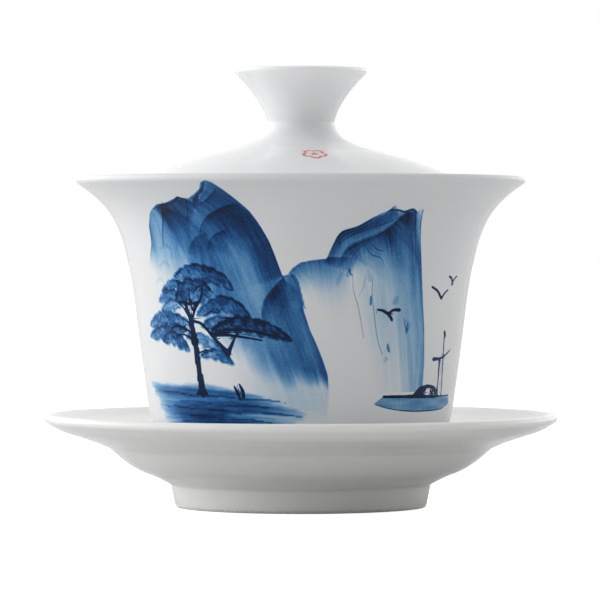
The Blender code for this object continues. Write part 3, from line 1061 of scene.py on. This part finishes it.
def blossom(shader):
    """The share of red at each point: a five-petalled flower in outline, high on the front."""
    cosine, sine = math.cos(MARK_ANGLE), math.sin(MARK_ANGLE)
    across = shader.math("ADD", shader.times(shader.x, cosine), shader.times(shader.y, sine))
    outward = shader.math("SUBTRACT", shader.times(shader.x, sine), shader.times(shader.y, cosine))
    down = shader.math("DIVIDE", shader.math("SUBTRACT", outward, MARK_RADIUS), MARK_STRETCH)
    squares = shader.math("MULTIPLY_ADD", across, across, shader.times(down, down))
    reach = shader.math("SQRT", squares)
    turn = shader.math("ARCTAN2", across, down)
    petal = shader.math("ABSOLUTE", shader.math("COSINE", shader.times(turn, MARK_PETALS / 2)))
    round_petal = shader.math("POWER", petal, 0.7)
    dip, waist = MARK_SIZE * MARK_NOTCH, MARK_SIZE * (1 - MARK_NOTCH)
    edge = shader.math("MULTIPLY_ADD", round_petal, dip, waist)
    off_edge = shader.math("ABSOLUTE", shader.math("SUBTRACT", reach, edge))
    outline = shader.fade(off_edge, 0.28, 0.44)
    heart = shader.fade(reach, 0.55, 0.72)
    spokes = shader.times(shader.fade(petal, 0.28, 0.5), shader.fade(reach, 1.0, 1.2))
    share = shader.math("MAXIMUM", shader.math("MAXIMUM", outline, heart), spokes)
    worn = shader.math("MULTIPLY_ADD", shader.noise(0.4), 0.25, 0.92)
    front = shader.math("GREATER_THAN", outward, 0.0)
    above = shader.math("GREATER_THAN", shader.z, MARK_LOWEST)
    return shader.times(shader.times(share, worn), shader.times(front, above))


def lid_glaze():
    shader = Shader("lid_porcelain_glaze")
    # The lid's white is lightened, as painted light.
    colour = shader.mix(blossom(shader), white_body(shader, LID_LIT_WHITE), MARK_RED)
    return glazed(shader, colour, 0.0)


def saucer_glaze():
    shader = Shader("saucer_porcelain_glaze")
    # The saucer's white is darker than the lid's, as painted shade.
    return glazed(shader, white_body(shader, SAUCER_SHADED_WHITE), 0.7)


# ================================================================ the three pieces
def add_attribute(mesh, name, values):
    layer = mesh.attributes.new(name, "FLOAT", "POINT")
    layer.data.foreach_set("value", values.astype(np.float32))


def painted_bowl():
    outline, rows = bowl_outline()
    outline = kept_in(outline, "bowl")
    angles, front_count = painted_angles()
    bowl = turned("painted_bowl", outline, angles)
    heights = outline[rows, 1]
    u, z = np.meshgrid(angles[:front_count] * PAINT_RADIUS, heights)
    paint = paint_landscape(u.ravel(), z.ravel())
    around = len(angles)
    ring = np.arange(rows.start - 1, rows.stop - 1)[:, None] * around
    places = (ring + np.arange(front_count)).ravel()
    for name in ("body", "wash", "land", "line_off", "line_half", "line_density", "across", "along"):
        empty = -FAR if name in ("land", "line_half") else 0.0
        values = np.full(len(bowl.data.vertices), empty)
        values[places] = getattr(paint, name)
        add_attribute(bowl.data, name, values)
    bowl.data.materials.append(painted_glaze())
    return bowl


def domed_lid():
    outline = kept_in(lid_outline(), "lid")
    lid = turned("domed_lid", outline, even_angles(PLAIN_STEPS))
    lid.data.materials.append(lid_glaze())
    return lid


def flanged_saucer():
    outline = kept_in(saucer_outline(), "saucer")
    saucer = turned("flanged_saucer", outline, even_angles(PLAIN_STEPS))
    saucer.data.materials.append(saucer_glaze())
    return saucer


def place_pieces():
    """Each piece moves with its CAD node, and is seen in that node's place."""
    for piece, node, slot in (
        (flanged_saucer(), "saucer", "saucer_glaze"),
        (painted_bowl(), "bowl", "bowl_painted_glaze"),
        (domed_lid(), "lid", "lid_glaze"),
    ):
        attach(piece, node)
        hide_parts(node)


# ================================================================ floor, light and camera
FLOOR_SIZE = 40.0
FLOOR_WHITE = (0.75, 0.75, 0.75, 1.0)
FLOOR_LIFT = 0.8
# Each lobe of the sky: its middle direction (x to the right, y behind), its sharpness, its level.
SKY_LOBES = (
    ((-1, 0, 0), 1.0, 0.7),
    ((1, 0, 0), 1.0, 0.42),
    ((0, 1, 0), 1.0, 0.5),
    ((0, 0, 1), 1.0, 0.2),
    ((-1, 0, 0), 3.0, 1.6),
    ((1, 0, 0), 3.0, 0.15),
    ((-0.85, -0.5, -0.2), 6.0, 1.3),
    ((-0.7, 0.7, 0), 3.0, 0.55),
    ((0.7, 0.7, 0), 3.0, 0.8),
    ((0, 0, 1), 4.0, 0.4),
    ((-0.8, 0.6, 0), 10.0, 0.9),
    ((0.8, 0.6, 0), 10.0, 0.5),
)
SOFTBOX_DISTANCE = 1.5
SOFTBOX_TARGET = Vector((0, 0, 0.05))
# Each softbox: its name, the side it stands on, its width and height, its radiance.
SOFTBOXES = (
    ("softbox_behind", (0, 0.743, 0.669), 0.32, 0.3, 1.4),
    ("softbox_left", (-0.97, 0, 0.2), 0.8, 0.6, 1.05),
    ("softbox_above", (0.6, -0.1, 0.8), 0.8, 0.6, 0.6),
    ("softbox_right", (0.97, 0, 0.2), 0.8, 0.6, 0.25),
)
CAMERA_PLACE = Vector((-0.0002, -0.90, 0.0553))
CAMERA_TARGET = Vector((-0.0002, 0, 0.0454))
CAMERA_LENS = 245.6


def add_floor():
    """Pale paper, lifted to white where it is seen straight on, so that only shadows show."""
    half = FLOOR_SIZE / 2
    mesh = bpy.data.meshes.new("floor")
    corners = [(-half, -half, 0), (half, -half, 0), (half, half, 0), (-half, half, 0)]
    mesh.from_pydata(corners, [], [(0, 1, 2, 3)])
    floor = bpy.data.objects.new("floor", mesh)
    bpy.context.scene.collection.objects.link(floor)
    paper = bpy.data.materials.new("floor_paper")
    paper.use_nodes = True
    nodes = Nodes(paper.node_tree)
    surface = {
        "Base Color": FLOOR_WHITE,
        "Roughness": 1.0,
        "Specular IOR Level": 0.0,
        "Emission Strength": nodes.times(nodes.camera_sees(), FLOOR_LIFT),
        "Emission Color": (1, 1, 1, 1),
    }
    nodes.fill(nodes.tree.nodes["Principled BSDF"], surface)
    mesh.materials.append(paper)


def add_sky():
    """White light all round in soft lobes, strongest on the left and weakest in front."""
    world = bpy.data.worlds.new("studio")
    bpy.context.scene.world = world
    world.use_nodes = True
    nodes = Nodes(world.node_tree)
    direction = nodes.node("ShaderNodeTexCoord").outputs["Generated"]
    total = 0.0
    for middle, sharpness, level in SKY_LOBES:
        facing = nodes.node("ShaderNodeVectorMath", operation="DOT_PRODUCT")
        nodes.feed(facing.inputs[0], direction)
        nodes.feed(facing.inputs[1], Vector(middle).normalized())
        lobe = nodes.math("POWER", nodes.math("MAXIMUM", facing.outputs["Value"], 0.0), sharpness)
        total = nodes.math("MULTIPLY_ADD", lobe, level, total)
    seen = nodes.node("ShaderNodeMix")
    nodes.fill(seen, {"Factor": nodes.camera_sees(), "A": total, "B": 1.0})
    background = nodes.tree.nodes["Background"]
    nodes.fill(background, {"Strength": seen.outputs["Result"], "Color": (1, 1, 1, 1)})


def add_softbox(name, side, width, height, radiance):
    """A glowing rectangle that faces the middle of the object."""
    light = bpy.data.lights.new(name, "AREA")
    light.shape = "RECTANGLE"
    light.size = width
    light.size_y = height
    light.energy = radiance * math.pi * width * height
    lamp = bpy.data.objects.new(name, light)
    place = SOFTBOX_TARGET + SOFTBOX_DISTANCE * Vector(side).normalized()
    lamp.location = place
    lamp.rotation_euler = (SOFTBOX_TARGET - place).to_track_quat("-Z", "Y").to_euler()
    lamp.visible_camera = False
    bpy.context.scene.collection.objects.link(lamp)


def add_camera():
    lens = bpy.data.cameras.new("camera")
    lens.lens = CAMERA_LENS
    lens.clip_start = 0.01
    camera = bpy.data.objects.new("camera", lens)
    camera.location = CAMERA_PLACE
    camera.rotation_euler = (CAMERA_TARGET - CAMERA_PLACE).to_track_quat("-Z", "Y").to_euler()
    bpy.context.scene.collection.objects.link(camera)
    bpy.context.scene.camera = camera


def main():
    """The camera, the floor and the light, then the three pieces."""
    add_camera()
    add_floor()
    add_sky()
    for softbox in SOFTBOXES:
        add_softbox(*softbox)
    bpy.context.scene.view_settings.view_transform = "Standard"
    place_pieces()


main()
